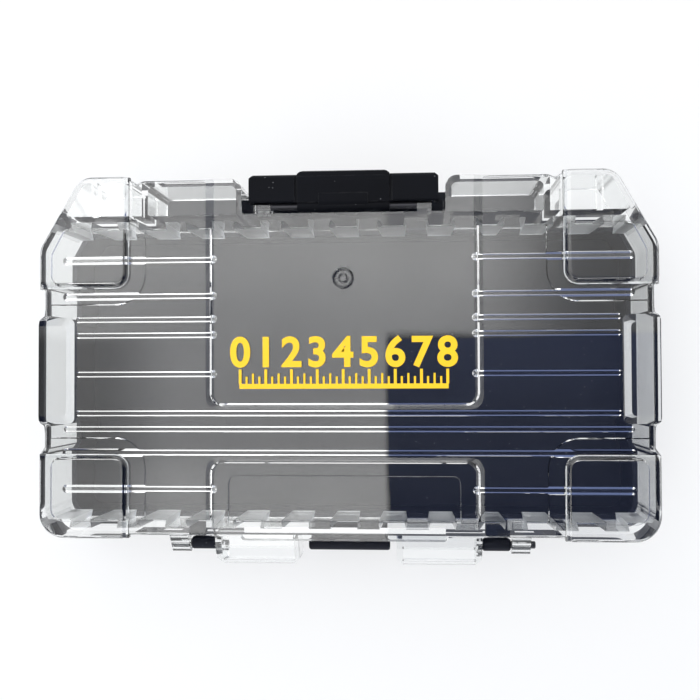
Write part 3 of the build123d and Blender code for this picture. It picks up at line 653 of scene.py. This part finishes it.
class TOOLBOX_OT_black_parts(bpy.types.Operator):
    """Give the tray and the latch their black plastic, and the pins their steel"""

    bl_idname = "toolbox.black_parts"
    bl_label = "Black Parts"

    def execute(self, context):
        settings = context.scene.toolbox_black
        dress("base_shell", black_plastic(
            "tray plastic", settings.tray_colour, settings,
            roughness=0.46, wear=0.02, reflection=settings.tray_reflection,
        ))
        dress("latch_lever", black_plastic(
            "latch plastic", settings.latch_colour, settings,
            roughness=0.42, wear=0.03, reflection=settings.latch_reflection,
        ))
        steel = blackened_steel(settings.pin_colour)
        for name in ("hinge_pin_right", "hinge_pin_left", "latch_pin"):
            dress(name, steel)
        return {"FINISHED"}


class TOOLBOX_OT_printed_rule(bpy.types.Operator):
    """Print the centimetre rule on the front panel of the lid"""

    bl_idname = "toolbox.printed_rule"
    bl_label = "Printed Rule"

    def execute(self, context):
        settings = context.scene.toolbox_rule
        z = PANEL_TOP_Z + settings.film
        length = settings.centimetres * CENTIMETRE
        work = bmesh.new()
        add_bar(
            work, (0.0, settings.base_y, z), (length + 2 * BASE_PAST_ENDS, BASE_LINE, settings.film),
        )
        for step in range(settings.centimetres * TICKS_PER_CENTIMETRE + 1):
            tall, wide = tick_size(step)
            x = length / 2 - step * CENTIMETRE / TICKS_PER_CENTIMETRE
            y = settings.base_y - (tall + BASE_LINE) / 2
            add_bar(work, (x, y, z), (wide, tall, settings.film))
        for number in range(settings.centimetres + 1):
            x = length / 2 - number * CENTIMETRE
            add_numeral(
                work, str(number), x, settings.base_y - NUMERAL_GAP, z,
                settings.numeral_height, settings.film,
            )
        finished_piece("centimetre_rule", work, printed_film(settings.colour), "lid")
        return {"FINISHED"}


def looked_at(tree, rays):
    """1 for the rays that look at the floor or the room, and 0 for those that carry its light."""
    path = node(tree, "ShaderNodeLightPath")
    return combined(tree, "MAXIMUM", [path.outputs[ray] for ray in rays])


def flat_object(name, work, height):
    """Turns a flat bmesh into an object at this height."""
    mesh = bpy.data.meshes.new(name)
    work.to_mesh(mesh)
    work.free()
    flat = bpy.data.objects.new(name, mesh)
    flat.location.z = height
    bpy.context.scene.collection.objects.link(flat)
    return flat


def studio_floor(settings):
    """A pale floor that keeps the object's shadow and fades out at its edge."""
    work = bmesh.new()
    bmesh.ops.create_circle(work, cap_ends=True, radius=settings.floor_radius, segments=96)
    floor = flat_object("floor", work, -FLOOR_DROP)
    material, tree, out = new_material("pale floor")
    coords = node(tree, "ShaderNodeTexCoord")
    reach = node(tree, "ShaderNodeVectorMath", operation="LENGTH")
    fade = [share * settings.floor_radius for share in FLOOR_FADE]
    paint = node(tree, "ShaderNodeBsdfDiffuse", {"Color": (*settings.floor_colour, 1.0)})
    white = node(tree, "ShaderNodeEmission", {"Color": WHITE, "Strength": 1.0})
    lift = node(tree, "ShaderNodeMath", {1: settings.floor_lift}, operation="MULTIPLY")
    lifted = node(tree, "ShaderNodeMixShader")
    away = node(tree, "ShaderNodeBsdfTransparent")
    mix = node(tree, "ShaderNodeMixShader")
    join(
        tree,
        (coords.outputs["Object"], reach.inputs[0]),
        (ramp(tree, reach.outputs["Value"], fade), mix.inputs["Fac"]),
        (looked_at(tree, LOOKING_RAYS), lift.inputs[0]),
        (lift.outputs["Value"], lifted.inputs["Fac"]),
        (paint.outputs["BSDF"], lifted.inputs[1]),
        (white.outputs["Emission"], lifted.inputs[2]),
        (lifted.outputs["Shader"], mix.inputs[1]),
        (away.outputs["BSDF"], mix.inputs[2]),
        (mix.outputs["Shader"], out.inputs["Surface"]),
    )
    floor.data.materials.append(material)


def light_ceiling(settings):
    """A luminous ceiling: bright over the latch side and over the middle, dark over one corner."""
    work = bmesh.new()
    bmesh.ops.create_grid(work, x_segments=1, y_segments=1, size=CEILING_HALF)
    bmesh.ops.reverse_faces(work, faces=work.faces)
    ceiling = flat_object("light ceiling", work, settings.light_height)
    ceiling.visible_camera = False
    material, tree, out = new_material("light ceiling")
    coords = node(tree, "ShaderNodeTexCoord")
    split = node(tree, "ShaderNodeSeparateXYZ")
    join(tree, (coords.outputs["Object"], split.inputs["Vector"]))
    x, y = split.outputs["X"], split.outputs["Y"]
    right_end = ramp(tree, x, *RIGHT_EDGE)
    front = combined(tree, "MULTIPLY", [
        ramp(tree, x, *FRONT_STEP), right_end, ramp(tree, x, *FRONT_LEFT_EDGE),
        ramp(tree, y, *FRONT_TO_MIDDLE),
    ])
    middle = combined(tree, "MULTIPLY", [
        ramp(tree, x, *MIDDLE_LEFT_EDGE), ramp(tree, x, *MIDDLE_STEP), right_end,
        ramp(tree, y, *REAR_STEP),
    ])
    cloud = node(tree, "ShaderNodeTexNoise", {"Scale": 5.0, "Detail": 2.0})
    join(tree, (coords.outputs["Object"], cloud.inputs["Vector"]))
    uneven = ramp(tree, cloud.outputs["Fac"], *CLOUDS)
    corner = settings.corner_level
    near_middle = ramp(tree, y, CORNER_STEP, CORNER_RISE * corner, corner)
    blend = node(tree, "ShaderNodeMix", data_type="FLOAT")
    tint = colour_mix(tree, A=(*settings.corner_colour, 1.0), B=WHITE)
    light = node(tree, "ShaderNodeEmission")
    level = node(tree, "ShaderNodeMath", {1: settings.light_level}, operation="MULTIPLY")
    join(
        tree,
        (ramp(tree, y, *FRONT_MEETS_MIDDLE), blend.inputs["Factor"]),
        (front, blend.inputs["A"]),
        (middle, blend.inputs["B"]),
        (combined(tree, "MULTIPLY", [blend.outputs["Result"], uneven]), level.inputs[0]),
        (combined(tree, "MAXIMUM", [level.outputs["Value"], near_middle]), light.inputs["Strength"]),
        (ramp(tree, level.outputs["Value"], (corner, 2 * corner)), tint.inputs["Factor"]),
        (tint.outputs["Result"], light.inputs["Color"]),
        (light.outputs["Emission"], out.inputs["Surface"]),
    )
    ceiling.data.materials.append(material)


def studio_room(settings):
    """The room: plain white where it is looked at, and lit walls under a dark top as a light."""
    world = bpy.data.worlds.new("room")
    world.use_nodes = True
    tree = world.node_tree
    tree.nodes.clear()
    white = node(tree, "ShaderNodeBackground", {"Color": WHITE, "Strength": 1.0})
    coords = node(tree, "ShaderNodeTexCoord")
    way = node(tree, "ShaderNodeSeparateXYZ")
    room = node(tree, "ShaderNodeBackground", {"Color": (*settings.room_colour, 1.0)})
    mix = node(tree, "ShaderNodeMixShader")
    out = node(tree, "ShaderNodeOutputWorld")
    join(
        tree,
        (coords.outputs["Generated"], way.inputs["Vector"]),
        (
            ramp(tree, way.outputs["Z"], WALLS_END, settings.wall_level, settings.top_level),
            room.inputs["Strength"],
        ),
        (looked_at(tree, DIRECT_RAYS), mix.inputs["Fac"]),
        (room.outputs["Background"], mix.inputs[1]),
        (white.outputs["Background"], mix.inputs[2]),
        (mix.outputs["Shader"], out.inputs["Surface"]),
    )
    bpy.context.scene.world = world


def studio_camera(settings):
    """The camera, at the place and turn that the settings give."""
    lens = bpy.data.cameras.new("camera")
    lens.sensor_width = 36.0
    lens.lens = settings.lens
    camera = bpy.data.objects.new("camera", lens)
    right, down, forward = (
        Vector(way) for way in (settings.camera_right, settings.camera_down, settings.camera_forward)
    )
    turn = Matrix((right, -down, -forward)).transposed()
    camera.matrix_world = Matrix.Translation(settings.camera_place) @ turn.to_4x4()
    bpy.context.scene.collection.objects.link(camera)
    bpy.context.scene.camera = camera


class TOOLBOX_OT_stage(bpy.types.Operator):
    """Set up the floor, the luminous ceiling, the room and the camera"""

    bl_idname = "toolbox.stage"
    bl_label = "Stage"

    def execute(self, context):
        settings = context.scene.toolbox_stage
        studio_floor(settings)
        light_ceiling(settings)
        studio_room(settings)
        studio_camera(settings)
        context.scene.view_settings.view_transform = "Standard"
        return {"FINISHED"}


STEPS = (TOOLBOX_OT_clear_lid, TOOLBOX_OT_black_parts, TOOLBOX_OT_printed_rule, TOOLBOX_OT_stage)


class TOOLBOX_PT_panel(bpy.types.Panel):
    """Lists the steps and their settings"""

    bl_idname = "TOOLBOX_PT_panel"
    bl_label = "Tool Box"
    bl_space_type = "VIEW_3D"
    bl_region_type = "UI"
    bl_category = "Tool Box"

    def draw(self, context):
        for step in STEPS:
            self.layout.operator(step.bl_idname)
        for name in SETTINGS:
            settings = getattr(context.scene, name)
            for setting in settings.bl_rna.properties:
                if setting.identifier not in ("name", "rna_type"):
                    self.layout.prop(settings, setting.identifier)


SETTINGS = {
    "toolbox_clear": ClearPlasticSettings,
    "toolbox_black": BlackPlasticSettings,
    "toolbox_rule": RuleSettings,
    "toolbox_stage": StageSettings,
}


def register():
    for name, settings in SETTINGS.items():
        bpy.utils.register_class(settings)
        setattr(bpy.types.Scene, name, PointerProperty(type=settings))
    for step in STEPS:
        bpy.utils.register_class(step)
    bpy.utils.register_class(TOOLBOX_PT_panel)


def unregister():
    bpy.utils.unregister_class(TOOLBOX_PT_panel)
    for step in reversed(STEPS):
        bpy.utils.unregister_class(step)
    for name, settings in SETTINGS.items():
        delattr(bpy.types.Scene, name)
        bpy.utils.unregister_class(settings)


def main():
    """Runs every step in order."""
    register()
    bpy.ops.toolbox.clear_lid()
    bpy.ops.toolbox.black_parts()
    bpy.ops.toolbox.printed_rule()
    bpy.ops.toolbox.stage()


if __name__ == "__main__":
    main()
